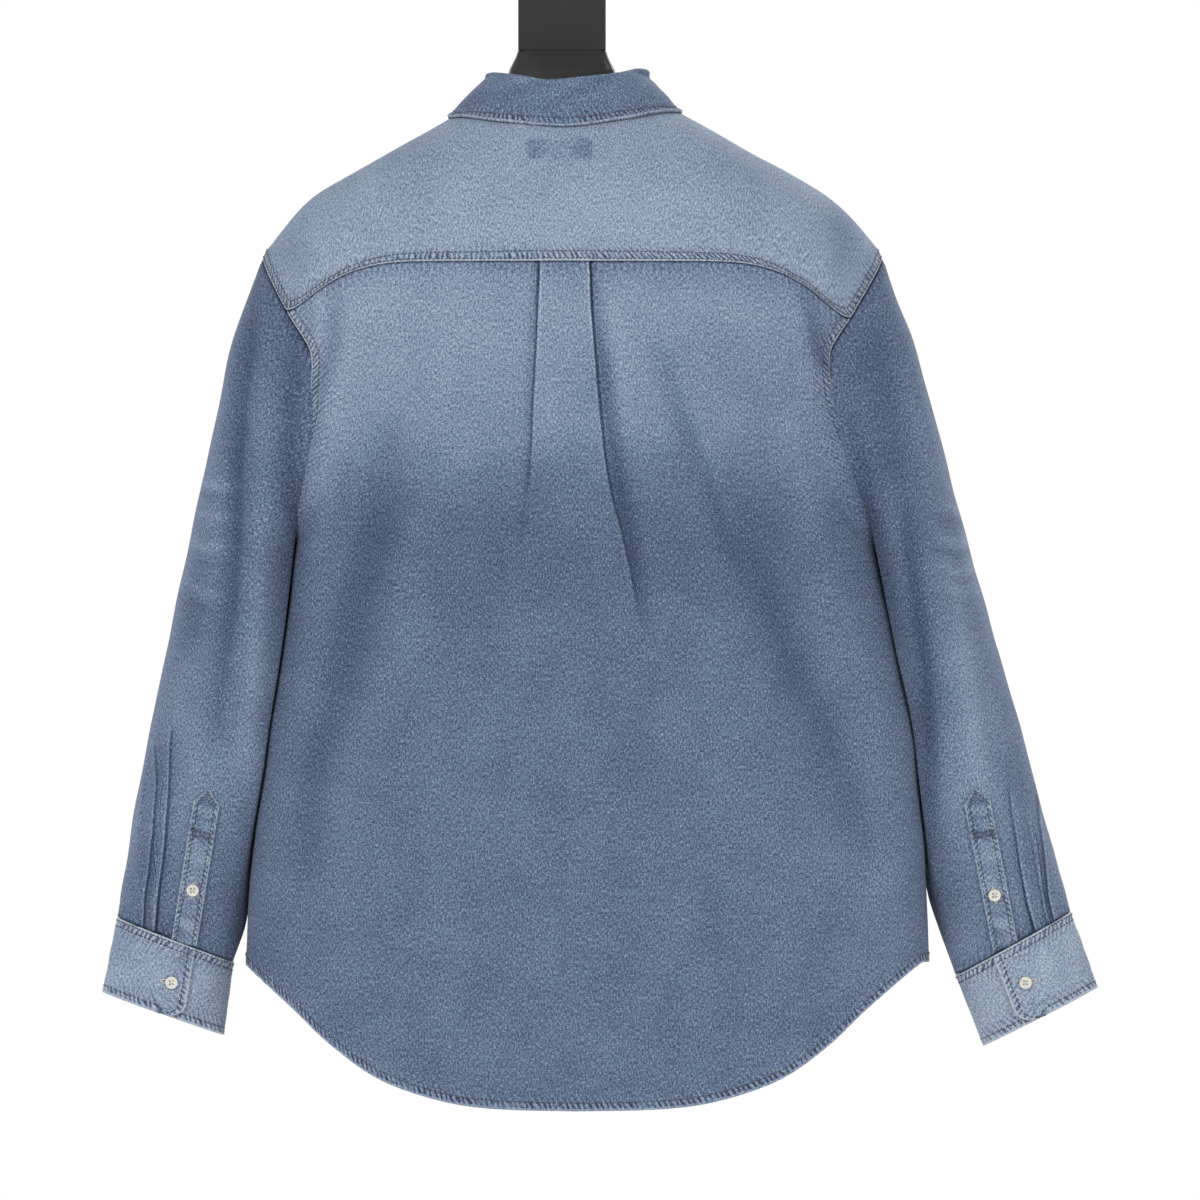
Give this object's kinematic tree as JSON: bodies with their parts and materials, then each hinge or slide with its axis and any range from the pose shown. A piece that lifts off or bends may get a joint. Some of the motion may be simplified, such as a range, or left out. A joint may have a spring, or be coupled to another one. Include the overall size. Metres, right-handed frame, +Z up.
{
  "type": "denim shirt on a bust hanger",
  "caption": "Roomy long-sleeved denim shirt, buttoned up, with a back yoke, box pleat and curved hem, hanging filled out on a moulded bust hanger held by its flat bar.",
  "frame": {"origin": "middle of the top end face of the hanger's flat bar, where the hanger is held", "axes": "+Z up along the bar, -Y out of the shirt's buttoned front, +Y out of its back, +X towards the wearer's left sleeve"},
  "size_m": [0.7973, 0.2253, 0.9256],
  "materials": {
    "denim": "washed denim twill, matt",
    "button": "pearly, softly polished",
    "hanger": "black, fine matt"
  },
  "bodies": {
    "root": {"back_panel": "denim", "back_yoke": "denim", "front_left": "denim", "front_right": "denim", "front_placket": "denim", "sleeve_left": "denim", "sleeve_right": "denim", "cuff_left": "denim", "cuff_right": "denim", "sleeve_placket_left": "denim", "sleeve_placket_right": "denim", "collar_stand": "denim", "collar_leaf": "denim", "placket_button_left": "button", "placket_button_right": "button", "cuff_button_left": "button", "cuff_button_right": "button", "front_button_1": "button", "front_button_2": "button", "front_button_3": "button", "front_button_4": "button", "front_button_5": "button", "front_button_6": "button", "front_button_7": "button", "collar_button": "button", "hanger_bar": "hanger", "hanger_bust": "hanger"}
  },
  "joints": []
}
